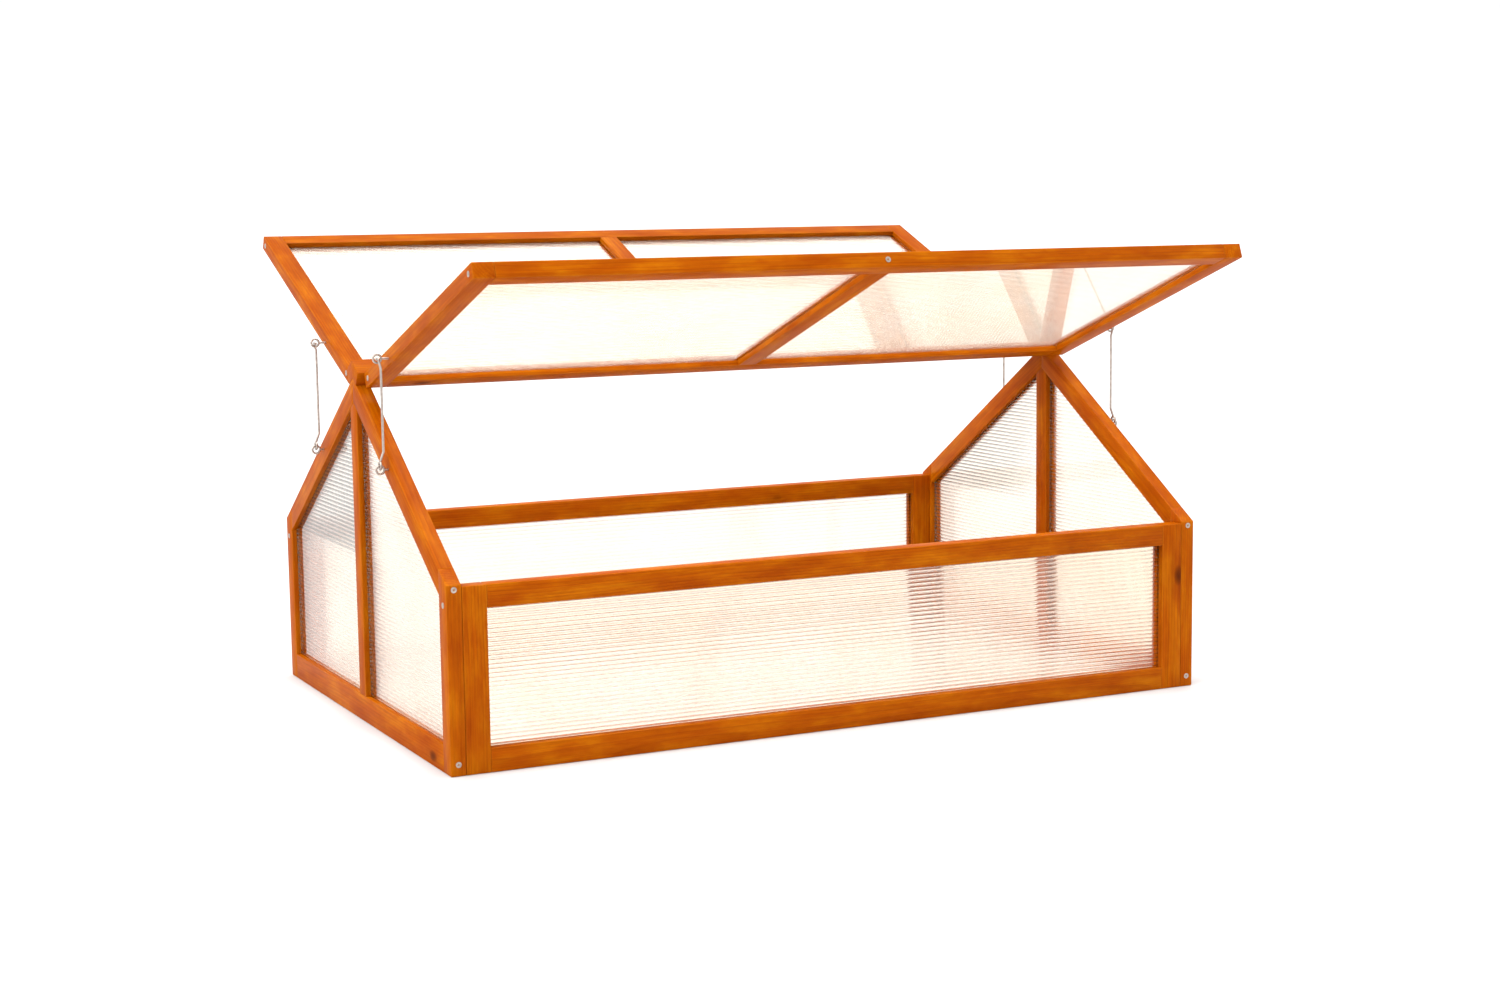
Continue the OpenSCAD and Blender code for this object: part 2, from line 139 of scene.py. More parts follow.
for name, strength, points in SUNS:
    data = bpy.data.lights.new(name, "SUN")
    data.energy = strength
    data.angle = SUN_WIDTH
    sun = bpy.data.objects.new(name, data)
    bpy.context.scene.collection.objects.link(sun)
    sun.rotation_mode = "QUATERNION"
    sun.rotation_quaternion = Vector(points).to_track_quat("-Z", "Y")
    print(name, "of", strength, "pointing along", points)
paths = bpy.context.scene.cycles
paths.max_bounces = PATH_TURNS
paths.transmission_bounces = PATH_TURNS
paths.glossy_bounces = PATH_TURNS
paths.transparent_max_bounces = PATH_TURNS
print("dome of", DOME, "and up to", paths.max_bounces, "turns")

# %% [markdown]
# ## Helpers for shader trees
# A material here is a tree of nodes. Adding a node, setting its sockets and wiring them is always the
# same, so one short helper does it: a value given for a socket is either a number or another node's
# output. Effects that several finishes share become node groups with named sockets.

# %% Node helpers
def put(tree, kind, sockets=None, **settings):
    """Adds a shader node, sets its settings, and fills or wires its inputs."""
    made = tree.nodes.new("ShaderNode" + kind)
    for name, value in settings.items():
        setattr(made, name, value)
    for name, value in (sockets or {}).items():
        if isinstance(value, bpy.types.NodeSocket):
            tree.links.new(value, made.inputs[name])
        else:
            made.inputs[name].default_value = value
    return made


def math(tree, operation, a, b=0.0, c=0.0):
    """A math node's result."""
    return put(tree, "Math", {0: a, 1: b, 2: c}, operation=operation).outputs[0]


def rescale(tree, value, low, high, new_low, new_high):
    """A value moved from one range into another."""
    sockets = {"Value": value, "From Min": low, "From Max": high, "To Min": new_low, "To Max": new_high}
    return put(tree, "MapRange", sockets).outputs[0]


def noise(tree, place, stretch, detail, roughness=0.5):
    """A smooth noise over coordinates that are stretched first."""
    stretched = put(tree, "Mapping", {"Vector": place, "Scale": stretch}).outputs[0]
    sockets = {"Vector": stretched, "Scale": 1.0, "Detail": detail, "Roughness": roughness}
    return put(tree, "TexNoise", sockets).outputs["Fac"]


def blend(tree, share, under, over, how="MIX"):
    """Two colours blended by a share."""
    return put(tree, "Mix", {0: share, 6: under, 7: over}, data_type="RGBA", blend_type=how).outputs[2]


def ramp(tree, value, stops):
    """A colour ramp over a value: stops are (place, colour)."""
    made = put(tree, "ValToRGB", {"Fac": value})
    while len(made.color_ramp.elements) < len(stops):
        made.color_ramp.elements.new(0.5)
    for element, (place, colour) in zip(made.color_ramp.elements, stops):
        element.position = place
        element.color = (*colour, 1)
    return made.outputs["Color"]


def new_group(name, inputs, outputs):
    """An empty shader group with named sockets; returns it with its inner input and output nodes."""
    group = bpy.data.node_groups.new(name, "ShaderNodeTree")
    for label, kind in inputs:
        group.interface.new_socket(label, in_out="INPUT", socket_type=kind)
    for label, kind in outputs:
        group.interface.new_socket(label, in_out="OUTPUT", socket_type=kind)
    return group, group.nodes.new("NodeGroupInput").outputs, group.nodes.new("NodeGroupOutput").inputs


def use_group(tree, group, sockets):
    """Places a group in a tree."""
    made = tree.nodes.new("ShaderNodeGroup")
    made.node_tree = group
    for name, value in sockets.items():
        if isinstance(value, bpy.types.NodeSocket):
            tree.links.new(value, made.inputs[name])
        else:
            made.inputs[name].default_value = value
    return made.outputs


def new_material(name, base, roughness, **sockets):
    """A material with one Principled shader, whose even values are set on its own sockets."""
    material = bpy.data.materials.new(name)
    material.use_nodes = True
    shader = material.node_tree.nodes["Principled BSDF"]
    shader.inputs["Base Color"].default_value = (*base, 1)
    shader.inputs["Roughness"].default_value = roughness
    for label, value in sockets.items():
        shader.inputs[label.replace("_", " ")].default_value = value
    return material, material.node_tree, shader


print("node helpers ready")

# %% [markdown]
# ## Growth rings
# Sawn fir shows the growth rings of the log: bands of pale early wood that darken slowly to a thin line of
# late wood and then jump back. Painting stripes would look wrong on the end grain, so the rings are worked
# out in three dimensions. Each board carries its own coordinates, X along the grain, in an attribute; the
# distance from the X axis, bent by a slow noise, gives the rings on the faces and the arcs on the ends at
# once. Long thin noise gives the fibres.

# %% Growth ring group
rings_group, given, result = new_group(
    "growth_rings",
    [("Board", "NodeSocketVector"), ("Ring Gap", "NodeSocketFloat"), ("Waviness", "NodeSocketFloat")],
    [("Ring", "NodeSocketFloat"), ("Fibre", "NodeSocketFloat"), ("Blotch", "NodeSocketFloat")],
)
tree = rings_group
DARKENING = 2.6
JUMP_BACK = 0.93
bend = noise(tree, given["Board"], (2.2, 16, 16), 2.0)
cross = put(tree, "VectorMath", {0: given["Board"], 1: (0, 1, 1)}, operation="MULTIPLY").outputs[0]
radius = put(tree, "VectorMath", {0: cross}, operation="LENGTH").outputs["Value"]
bent = math(tree, "MULTIPLY_ADD", bend, given["Waviness"], radius)
phase = math(tree, "FRACT", math(tree, "DIVIDE", bent, given["Ring Gap"]))
late = math(tree, "POWER", phase, DARKENING)
edge = rescale(tree, phase, JUMP_BACK, 1.0, 1.0, 0.0)
tree.links.new(math(tree, "MULTIPLY", late, edge), result["Ring"])
tree.links.new(noise(tree, given["Board"], (14, 900, 900), 3.0, 0.6), result["Fibre"])
tree.links.new(noise(tree, given["Board"], (15, 50, 50), 4.0, 0.6), result["Blotch"])
print("growth rings:", len(tree.nodes), "nodes")

# %% [markdown]
# ## Knots
# A knot is a branch cut through: a small dark eye with a paler ring round it, a few to a board. A cell
# pattern scatters them: only the cells whose random number is high keep theirs, and the cells are
# stretched along the grain so that an eye comes out a little longer than wide.

# %% Knot group
knot_group, given, result = new_group(
    "knots",
    [("Board", "NodeSocketVector"), ("Size", "NodeSocketFloat")],
    [("Eye", "NodeSocketFloat"), ("Halo", "NodeSocketFloat")],
)
tree = knot_group
WITHOUT_KNOT = 0.72
EYE_SOFTNESS = 0.7
HALO_REACH = 2.4
cells = put(tree, "Mapping", {"Vector": given["Board"], "Scale": (7, 14, 14)}).outputs[0]
scatter = put(tree, "TexVoronoi", {"Vector": cells, "Scale": 1.0, "Randomness": 1.0})
chosen = put(tree, "SeparateColor", {0: scatter.outputs["Color"]}).outputs[0]
keep = math(tree, "GREATER_THAN", chosen, WITHOUT_KNOT)
distance = scatter.outputs["Distance"]
dark = math(tree, "POWER", rescale(tree, distance, 0.0, given["Size"], 1.0, 0.0), EYE_SOFTNESS)
tree.links.new(math(tree, "MULTIPLY", dark, keep), result["Eye"])
halo_size = math(tree, "MULTIPLY", given["Size"], HALO_REACH)
pale = rescale(tree, distance, 0.0, halo_size, 1.0, 0.0)
tree.links.new(math(tree, "MULTIPLY", pale, keep), result["Halo"])
print("knots:", len(tree.nodes), "nodes")

# %% [markdown]
# ## Handling marks
# Nothing that has been screwed together is spotless. A faint film of dust and very fine scratches change
# how sharply a surface shines, on the varnish, the plastic and the metal alike, so one group serves all
# three, each with its own amount.

# %% Handling mark group
marks_group, given, result = new_group(
    "handling_marks",
    [
        ("Place", "NodeSocketVector"),
        ("Scale", "NodeSocketFloat"),
        ("Low", "NodeSocketFloat"),
        ("High", "NodeSocketFloat"),
    ],
    [("Roughness", "NodeSocketFloat"), ("Mark", "NodeSocketFloat")],
)
tree = marks_group
film_sockets = {"Vector": given["Place"], "Scale": given["Scale"], "Detail": 4.0, "Roughness": 0.65}
film = put(tree, "TexNoise", film_sockets).outputs["Fac"]
tree.links.new(rescale(tree, film, 0.3, 0.7, given["Low"], given["High"]), result["Roughness"])
tree.links.new(film, result["Mark"])
print("handling marks:", len(tree.nodes), "nodes")

# %% [markdown]
# ## Stained fir
# The boards have an orange brown exterior stain under a thin varnish. The stain sinks deeper into early
# wood and knots, so the rings and the knots steer one colour. An attribute that marks the arrises makes
# them paler: partly the stain rubbed thin there, partly a painted highlight for the light an eased edge
# catches. The varnish is a coat over the wood with its own gloss; the fibres stand up as a very fine bump.

# %% Wood material
EARLY_WOOD = [
    (0.3, (0.35, 0.058, 0.0002)),
    (0.5, (0.415, 0.084, 0.0003)),
    (0.7, (0.51, 0.137, 0.001)),
]
LATE_WOOD = [(0.3, (0.25, 0.035, 0.0001)), (0.7, (0.35, 0.064, 0.0003))]
KNOT_RING = (0.23, 0.034, 0.0003, 1)
KNOT_EYE = (0.06, 0.010, 0.0008, 1)
# Paler colour for the arris faces: partly stain rubbed thin, partly a painted highlight for the light an
# eased edge catches.
RUBBED_THIN_AND_EDGE_HIGHLIGHT = (0.52, 0.16, 0.01, 1)
FIBRE_SHADES = [(0.3, (0.84, 0.84, 0.84)), (0.7, (1.12, 1.12, 1.12))]
RING_GAP = 0.0034
WAVINESS = 0.018
KNOT_SIZE = 0.1
RING_SHARE = 0.62
HALO_SHARE = 0.45
RING_RELIEF = -0.35
wood, tree, shader = new_material(
    "stained_fir",
    (0.39, 0.080, 0.001),
    0.5,
    Coat_Weight=0.3,
    Coat_Roughness=0.3,
    Coat_IOR=1.2,
    Specular_IOR_Level=0.0,
)
board = put(tree, "Attribute", attribute_name="board").outputs["Vector"]
arris = put(tree, "Attribute", attribute_name="arris").outputs["Fac"]
rings = use_group(tree, rings_group, {"Board": board, "Ring Gap": RING_GAP, "Waviness": WAVINESS})
knots = use_group(tree, knot_group, {"Board": board, "Size": KNOT_SIZE})
early = ramp(tree, rings["Blotch"], EARLY_WOOD)
late_colour = ramp(tree, rings["Blotch"], LATE_WOOD)
grained = blend(tree, math(tree, "MULTIPLY", rings["Ring"], RING_SHARE), early, late_colour)
fibre_tone = ramp(tree, rings["Fibre"], FIBRE_SHADES)
fibred = blend(tree, 1.0, grained, fibre_tone, "MULTIPLY")
haloed = blend(tree, math(tree, "MULTIPLY", knots["Halo"], HALO_SHARE), fibred, KNOT_RING)
knotted = blend(tree, knots["Eye"], haloed, KNOT_EYE)
# The arris faces are made paler here, partly as rubbed stain and partly as a painted highlight on the
# edges.
rub_and_edge_highlight = math(tree, "MULTIPLY", arris, rescale(tree, rings["Fibre"], 0.35, 0.65, 0.05, 0.4))
worn_and_highlighted = blend(tree, rub_and_edge_highlight, knotted, RUBBED_THIN_AND_EDGE_HIGHLIGHT)
tree.links.new(worn_and_highlighted, shader.inputs["Base Color"])
gloss = use_group(tree, marks_group, {"Place": board, "Scale": 60.0, "Low": 0.40, "High": 0.58})
tree.links.new(gloss["Roughness"], shader.inputs["Roughness"])
height = math(tree, "MULTIPLY_ADD", rings["Ring"], RING_RELIEF, rings["Fibre"])
relief = put(tree, "Bump", {"Strength": 0.35, "Distance": 0.0004, "Height": height}).outputs[0]
tree.links.new(relief, shader.inputs["Normal"])
print("stained fir:", len(tree.nodes), "nodes")

# %% [markdown]
# ## Twin-wall sheet
# The glazing is clear polycarbonate: a glass-like plastic with a gloss that is never quite perfect. Its
# flutes are real hollows in the sheet, so nothing has to be faked in the shader. Light that only passes
# through on its way to the floor is let through straight, because bending it would cost a great deal of
# rendering for nothing.

# %% Sheet material
PLASTIC_TINTS = [(0.3, (0.998, 0.948, 0.880)), (0.7, (1.0, 0.968, 0.920))]
sheet, tree, shader = new_material(
    "twin_wall_sheet", (1.0, 0.96, 0.90), 0.0, IOR=1.45, Transmission_Weight=1.0
)
place = put(tree, "TexCoord").outputs["Object"]
haze = use_group(tree, marks_group, {"Place": place, "Scale": 14.0, "Low": 0.0, "High": 0.02})
tree.links.new(haze["Roughness"], shader.inputs["Roughness"])
tint = ramp(tree, haze["Mark"], PLASTIC_TINTS)
tree.links.new(tint, shader.inputs["Base Color"])
straight = put(tree, "BsdfTransparent", {"Color": (0.99, 0.99, 0.99, 1)})
passing = put(tree, "LightPath").outputs["Is Shadow Ray"]
both = put(tree, "MixShader", {0: passing, 1: shader.outputs[0], 2: straight.outputs[0]})
tree.links.new(both.outputs[0], tree.nodes["Material Output"].inputs["Surface"])
print("sheet:", len(tree.nodes), "nodes")

# %% [markdown]
# ## Zinc-plated steel
# Screws, hinges, eyes and stays are plated wire and sheet: bright, a little uneven, and duller where the
# plating has been handled. The metal takes its look from what it reflects, so only its colour and
# roughness vary.

# %% Steel material
PLATING_SHADES = [(0.3, (0.36, 0.30, 0.26)), (0.7, (0.60, 0.53, 0.48))]
steel, tree, shader = new_material("plated_steel", (0.5, 0.45, 0.41), 0.3, Metallic=1.0)
place = put(tree, "TexCoord").outputs["Object"]
plating = use_group(tree, marks_group, {"Place": place, "Scale": 260.0, "Low": 0.3, "High": 0.5})
tree.links.new(plating["Roughness"], shader.inputs["Roughness"])
sheen = ramp(tree, plating["Mark"], PLATING_SHADES)
tree.links.new(sheen, shader.inputs["Base Color"])
pits = put(tree, "Bump", {"Strength": 0.1, "Distance": 0.0002, "Height": plating["Mark"]}).outputs[0]
tree.links.new(pits, shader.inputs["Normal"])
print("steel:", len(tree.nodes), "nodes")

# %% [markdown]
# ## Helpers for modelling
# A board begins as a cube at its own size and place. From there on everything is done in edit mode, as by
# hand: elements are picked by where they are, moved, cut or pushed in. These helpers open and close edit
# mode, pick elements, cut across an axis, make cubes to measure, apply modifiers and find a measured part's
# box in a frame of its own.

# %% Modelling helpers
FACING = 0.99


def edit(piece):
    """Leaves only this piece selected, and opens it in edit mode."""
    bpy.ops.object.select_all(action="DESELECT")
    piece.select_set(True)
    bpy.context.view_layer.objects.active = piece
    bpy.ops.object.mode_set(mode="EDIT")


def done():
    """Back to object mode."""
    bpy.ops.object.mode_set(mode="OBJECT")


def pick(piece, kind, test):
    """In edit mode, selects only the verts or faces whose middle and normal pass the test."""
    bpy.ops.mesh.select_mode(type={"verts": "VERT", "faces": "FACE"}[kind])
    bpy.ops.mesh.select_all(action="DESELECT")
    mesh = bmesh.from_edit_mesh(piece.data)
    for item in getattr(mesh, kind):
        if kind == "faces":
            chosen = test(item.calc_center_median(), item.normal)
        else:
            chosen = test(item.co, item.normal)
        if chosen:
            item.select_set(True)
    mesh.select_flush_mode()
    bmesh.update_edit_mesh(piece.data)


def cut(axis, at):
    """In edit mode, cuts the whole piece with a plane across an axis."""
    bpy.ops.mesh.select_all(action="SELECT")
    normal = [0, 0, 0]
    normal[axis] = 1
    point = [0, 0, 0]
    point[axis] = at
    bpy.ops.mesh.bisect(plane_co=point, plane_no=normal)


def cube(name, low, high):
    """A cube primitive made to measure, with its place in its mesh."""
    low, high = Vector(low), Vector(high)
    bpy.ops.mesh.primitive_cube_add(size=1, location=(low + high) / 2)
    piece = bpy.context.object
    piece.name = piece.data.name = name
    piece.scale = high - low
    bpy.ops.object.transform_apply(location=True, rotation=True, scale=True)
    return piece


def modify(piece, kind, **settings):
    """Adds a modifier and applies it."""
    bpy.context.view_layer.objects.active = piece
    made = piece.modifiers.new(kind.lower(), kind)
    for name, value in settings.items():
        setattr(made, name, value)
    bpy.ops.object.modifier_apply(modifier=made.name)


def own_box(node, placing):
    """A measured node's low and high corner in a frame of its own, such as a tilted lid's."""
    back = placing.inverted()
    points = [back @ v.co for v in frame["nodes"][node].data.vertices]
    low = Vector([min(p[i] for p in points) for i in range(3)])
    return low, Vector([max(p[i] for p in points) for i in range(3)])


print("modelling helpers ready")

# %% [markdown]
# ## How far the lids stand open
# The lids are modelled flat and then turned into place about their hinge lines, because square boards are
# easy to draw square. The tilt comes from the measured size of a lid's side rail: a bar of known thickness
# that stands at an angle fills a box whose sides give that angle back. The slope of the roof comes from a
# rafter's box in the same way. Neither has a formula that gives it at once, so a first guess is put right
# in small steps.

# %% Tilts and slope
LID_T = 18 * MM
BOARD_W = 25 * MM
SETTLING_STEPS = 40
LIDS = {"front_lid": -1, "rear_lid": 1}


def tilt_of(rail):
    """The angle at which a side rail stands above level."""
    low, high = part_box(rail)
    run, rise = high.y - low.y, high.z - low.z
    angle = atan2(rise, run)
    for _ in range(SETTLING_STEPS):
        angle = atan2(rise - LID_T * cos(angle), run - LID_T * sin(angle))
    return angle


PLACE = {"base": Matrix.Identity(4)}
for lid, y_side in LIDS.items():
    hinge = Vector(joints[lid + "_hinge"]["pos_m"])
    tilt = tilt_of(lid + "_rail_left")
    PLACE[lid] = Matrix.Translation(hinge) @ Matrix.Rotation(y_side * tilt, 4, "X")
    print(lid, "stands", round(degrees(tilt), 1), "degrees above level")
rafter_low, rafter_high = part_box("right_rafter_rear")
rafter_run, rafter_fall = rafter_high.y - rafter_low.y, rafter_high.z - rafter_low.z
slope = atan2(rafter_fall, rafter_run)
for _ in range(SETTLING_STEPS):
    slope = atan2(rafter_fall - BOARD_W / cos(slope), rafter_run)
ROOF = tan(slope)
APEX = rafter_high.z
print("roof slope", round(degrees(slope), 2), "degrees, apex", round(APEX / MM, 1), "mm")

# %% [markdown]
# ## Finishing a board
# A planed board never has razor edges: its arrises are eased by a pass of sandpaper, and they are what
# catches the light. A Bevel modifier rounds every sharp edge by the same small amount. The new narrow
# faces are then marked in an attribute for the rubbed stain and the painted highlight on the arrises, and
# the board's own coordinates are stored, each board cut from another part of the log so that no two look
# the same.

# %% Board finishing
EASE = 0.9 * MM
SHARP = radians(12)
SMOOTH = radians(35)
SAME_WAY = 0.9995
board_count = 0


def finish_board(piece, node, body, grain):
    """Eases the arrises, stores the grain's coordinates, turns the board into place and hands it over."""
    global board_count
    board_count += 1
    flats = [p.normal.copy() for p in piece.data.polygons]
    modify(piece, "BEVEL", width=EASE, segments=2, limit_method="ANGLE", angle_limit=SHARP)
    # This arris mark drives the rubbed stain and the painted edge highlight in the wood.
    mark = piece.data.attributes.new("arris", "FLOAT", "FACE")
    for face in piece.data.polygons:
        mark.data[face.index].value = 0.0 if any(face.normal.dot(n) > SAME_WAY for n in flats) else 1.0
    centre = sum((Vector(c) for c in piece.bound_box), Vector()) / 8
    log_x = 0.731 * board_count
    log_y = 0.018 + 0.031 * ((board_count * 0.618) % 1)
    log_z = -0.045 + 0.09 * ((board_count * 0.414) % 1)
    log = Vector((log_x, log_y, log_z))
    own = piece.data.attributes.new("board", "FLOAT_VECTOR", "POINT")
    for v in piece.data.vertices:
        own.data[v.index].vector = grain @ (v.co - centre) + log
    piece.matrix_world = PLACE[body]
    bpy.ops.object.select_all(action="DESELECT")
    piece.select_set(True)
    bpy.context.view_layer.objects.active = piece
    bpy.ops.object.transform_apply(location=True, rotation=True, scale=True)
    bpy.ops.object.shade_smooth_by_angle(angle=SMOOTH)
    piece.data.materials.clear()
    piece.data.materials.append(wood)
    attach(piece, body)
    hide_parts(node)


ALONG_X = Matrix.Identity(3)
ALONG_Y = Matrix(((0, 1, 0), (-1, 0, 0), (0, 0, 1)))
ALONG_Z = Matrix(((0, 0, 1), (0, 1, 0), (-1, 0, 0)))
print("arrises are eased by", EASE / MM, "mm")

# %% [markdown]
# ## Grooves
# Each frame board has a groove ploughed into its inner edge, and the sheet stands in it. Cutting a groove
# with a second solid would work too, but two pairs of cuts and one push inwards give clean faces: the cuts
# outline a long strip on the edge, and the strip is extruded into the board.

# %% Groove helper
PLAY = 0.2 * MM


def groove(piece, out_axis, out_side, sheet_low, sheet_high, run_axis, run):
    """Ploughs a groove on one side: sheet_low to sheet_high across the board, run[0] to run[1] along it."""
    thick_axis = 3 - out_axis - run_axis
    edit(piece)
    low, high = sheet_low[thick_axis] - PLAY, sheet_high[thick_axis] + PLAY
    for at in (low, high):
        cut(thick_axis, at)
    for at in run:
        cut(run_axis, at)
    face_at = sheet_high[out_axis] if out_side < 0 else sheet_low[out_axis]

    def strip(centre, normal):
        return (
            normal[out_axis] * out_side > FACING
            and low < centre[thick_axis] < high
            and run[0] < centre[run_axis] < run[1]
        )

    pick(piece, "faces", strip)
    mesh = bmesh.from_edit_mesh(piece.data)
    surface = next(f.calc_center_median()[out_axis] for f in mesh.faces if f.select)
    push = [0.0, 0.0, 0.0]
    push[out_axis] = face_at - surface - out_side * PLAY
    bpy.ops.mesh.extrude_region_move(TRANSFORM_OT_translate={"value": push})
    done()


print("grooves have", PLAY / MM, "mm of play round the sheet")

# %% [markdown]
# ## Gables
# Each gable is a frame of six boards: two posts with tops cut to the roof slope, a bottom rail between
# them, a mullion in the middle, and two rafters with plumb ends that lean together at the apex. Each could
# be drawn as an outline and extruded. A made-to-measure cube with one edge or one end moved is closer to
# how a joiner marks the cut. The rafters are grooved while they are still level and are then sheared down
# the roof slope.

# %% Gable boards
REBATE = 5 * MM
RISE = BOARD_W / cos(slope)
MID_Y = (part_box("ridge_beam")[0].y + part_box("ridge_beam")[1].y) / 2
SIDES = {"left": -1, "right": 1}
ENDS = {"front": -1, "rear": 1}
NEAR = 0.1 * MM

for side in SIDES:
    for end, y_side in ENDS.items():
        sheet_low, sheet_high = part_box(f"{side}_pane_{end}")
        outer_top = sheet_high.z - ROOF * (sheet_high.y - sheet_low.y)
        node = f"{side}_post_{end}"
        low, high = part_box(node)
        outer_y = high.y if y_side > 0 else low.y
        post = cube("wood_" + node, low, high)
        edit(post)
        pick(post, "verts", lambda at, n: at.z > high.z - NEAR and abs(at.y - outer_y) < NEAR)
        bpy.ops.transform.translate(value=(0, 0, -ROOF * (high.y - low.y)))
        done()
        groove(post, 1, -y_side, sheet_low, sheet_high, 2, (sheet_low.z - PLAY, outer_top + PLAY))
        finish_board(post, node, "base", ALONG_Z)

        node = f"{side}_rafter_{end}"
        low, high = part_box(node)
        rafter = cube("wood_" + node, Vector((low.x, low.y, APEX - RISE)), Vector((high.x, high.y, APEX)))
        top_of_sheet = Vector((sheet_high.x, sheet_high.y, APEX - RISE + REBATE / cos(slope)))
        groove(rafter, 2, -1, sheet_low, top_of_sheet, 1, (sheet_low.y - PLAY, sheet_high.y + PLAY))
        for v in rafter.data.vertices:
            v.co.z -= ROOF * abs(v.co.y - MID_Y)
        lean = Matrix.Rotation(y_side * slope, 3, "X")
        finish_board(rafter, node, "base", ALONG_Y @ lean)

    node = f"{side}_sill"
    sill = cube("wood_" + node, *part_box(node))
    for end in ENDS:
        sheet_low, sheet_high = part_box(f"{side}_pane_{end}")
        groove(sill, 2, 1, sheet_low, sheet_high, 1, (sheet_low.y - PLAY, sheet_high.y + PLAY))
    finish_board(sill, node, "base", ALONG_Y)

    node = f"{side}_mullion"
    low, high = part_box(node)
    mullion = cube("wood_" + node, low, high)
    edit(mullion)
    cut(1, MID_Y)
    pick(mullion, "verts", lambda at, n: at.z > high.z - NEAR and abs(at.y - MID_Y) > NEAR)
    bpy.ops.transform.translate(value=(0, 0, -ROOF * (high.y - low.y) / 2))
    done()
    for end, y_side in ENDS.items():
        sheet_low, sheet_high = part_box(f"{side}_pane_{end}")
        groove(mullion, 1, y_side, sheet_low, sheet_high, 2, (low.z - 1, high.z + 1))
    finish_board(mullion, node, "base", ALONG_Z)
print("gable boards:", board_count)

# %% [markdown]
# ## Front and rear panels
# A panel is two upright stiles with two rails between them, butted and screwed, with a groove all round
# the opening. The four boards are plain, so all their work is in the grooves and the eased arrises.

# %% Panel boards
for end in ENDS:
    sheet_low, sheet_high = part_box(f"{end}_pane")
    for side, x_side in SIDES.items():
        node = f"{end}_stile_{side}"
        stile = cube("wood_" + node, *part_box(node))
        groove(stile, 0, -x_side, sheet_low, sheet_high, 2, (sheet_low.z - PLAY, sheet_high.z + PLAY))
        finish_board(stile, node, "base", ALONG_Z)
    for level, faces_up in (("top", -1), ("low", 1)):
        node = f"{end}_{level}_rail"
        rail = cube("wood_" + node, *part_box(node))
        groove(rail, 2, faces_up, sheet_low, sheet_high, 0, (sheet_low.x - PLAY, sheet_high.x + PLAY))
        finish_board(rail, node, "base", ALONG_X)
print("boards so far:", board_count)

# %% [markdown]
# ## Ridge beam
# The ridge beam carries both lids. Its top has two slopes, its sides lean in, and at each end it sits over
# the gable like a saddle. It starts as a cube along the whole length; cuts give it more edges, the edges
# are moved to the real section, and a wedge the shape of a gable's peak is taken out of each end with a
# Boolean. The wedge stands a tenth of a millimetre proud, because a saddle is cut with a little play over
# the rafters.

# %% Ridge beam
low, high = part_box("ridge_beam")
half = (high.y - low.y) / 2
weather_z = high.z - ROOF * half
gable_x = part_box("right_sill")[0].x
PEAK_HALF = 50 * MM
PEAK_BASE = 30 * MM
PAST_END = 10 * MM
skirt = 2.5 * MM
skirt_y = (APEX - low.z - skirt) / ROOF
saddle_top = APEX + 0.1 * MM
beam = cube("wood_ridge_beam", low, high)
edit(beam)
cut(1, MID_Y)
pick(beam, "verts", lambda at, n: at.z > high.z - NEAR and abs(at.y - MID_Y) > NEAR)
bpy.ops.transform.translate(value=(0, 0, weather_z - high.z))
cut(2, low.z + skirt)
for y_side in (-1, 1):
    pick(beam, "verts", lambda at, n: at.z < low.z + skirt + NEAR and (at.y - MID_Y) * y_side > NEAR)
    bpy.ops.transform.translate(value=(0, y_side * (skirt_y - half), 0))
done()
for x_side in (-1, 1):
    inner, outer = gable_x * x_side, (high.x + PAST_END) * x_side
    saddle_low = Vector((min(inner, outer), MID_Y - PEAK_HALF, low.z - PEAK_BASE))
    saddle = cube("saddle", saddle_low, Vector((max(inner, outer), MID_Y + PEAK_HALF, saddle_top)))
    edit(saddle)
    cut(1, MID_Y)
    pick(saddle, "verts", lambda at, n: at.z > saddle_top - NEAR and abs(at.y - MID_Y) > NEAR)
    bpy.ops.transform.translate(value=(0, 0, -ROOF * PEAK_HALF))
    done()
    modify(beam, "BOOLEAN", object=saddle, operation="DIFFERENCE", solver="EXACT")
    bpy.data.objects.remove(saddle)
finish_board(beam, "ridge_beam", "base", ALONG_X)
print("ridge beam faces:", len(beam.data.polygons))

# %% [markdown]
# ## Lids
# A lid is a frame of four boards and a muntin, with two sheets. The side rails run the whole length and
# the cross rails are butted between them. All are drawn flat in the lid's own frame, with the hinge line
# as its origin, and the finishing step turns them to the angle that the lid stands open at.

# %% Lid boards
for lid, y_side in LIDS.items():
    place = PLACE[lid]
    sheets = {side: own_box(f"{lid}_pane_{side}", place) for side in SIDES}
    for side, x_side in SIDES.items():
        node = f"{lid}_rail_{side}"
        rail = cube("wood_" + node, *own_box(node, place))
        sheet_low, sheet_high = sheets[side]
        groove(rail, 0, -x_side, sheet_low, sheet_high, 1, (sheet_low.y - PLAY, sheet_high.y + PLAY))
        finish_board(rail, node, lid, ALONG_Y)
    for name, opens in (("ridge_rail", y_side), ("free_rail", -y_side)):
        node = f"{lid}_{name}"
        rail = cube("wood_" + node, *own_box(node, place))
        for sheet_low, sheet_high in sheets.values():
            groove(rail, 1, opens, sheet_low, sheet_high, 0, (sheet_low.x - PLAY, sheet_high.x + PLAY))
        finish_board(rail, node, lid, ALONG_X)
    node = f"{lid}_muntin"
    muntin = cube("wood_" + node, *own_box(node, place))
    for side, x_side in SIDES.items():
        sheet_low, sheet_high = sheets[side]
        groove(muntin, 0, x_side, sheet_low, sheet_high, 1, (sheet_low.y - PLAY, sheet_high.y + PLAY))
    finish_board(muntin, node, lid, ALONG_Y)
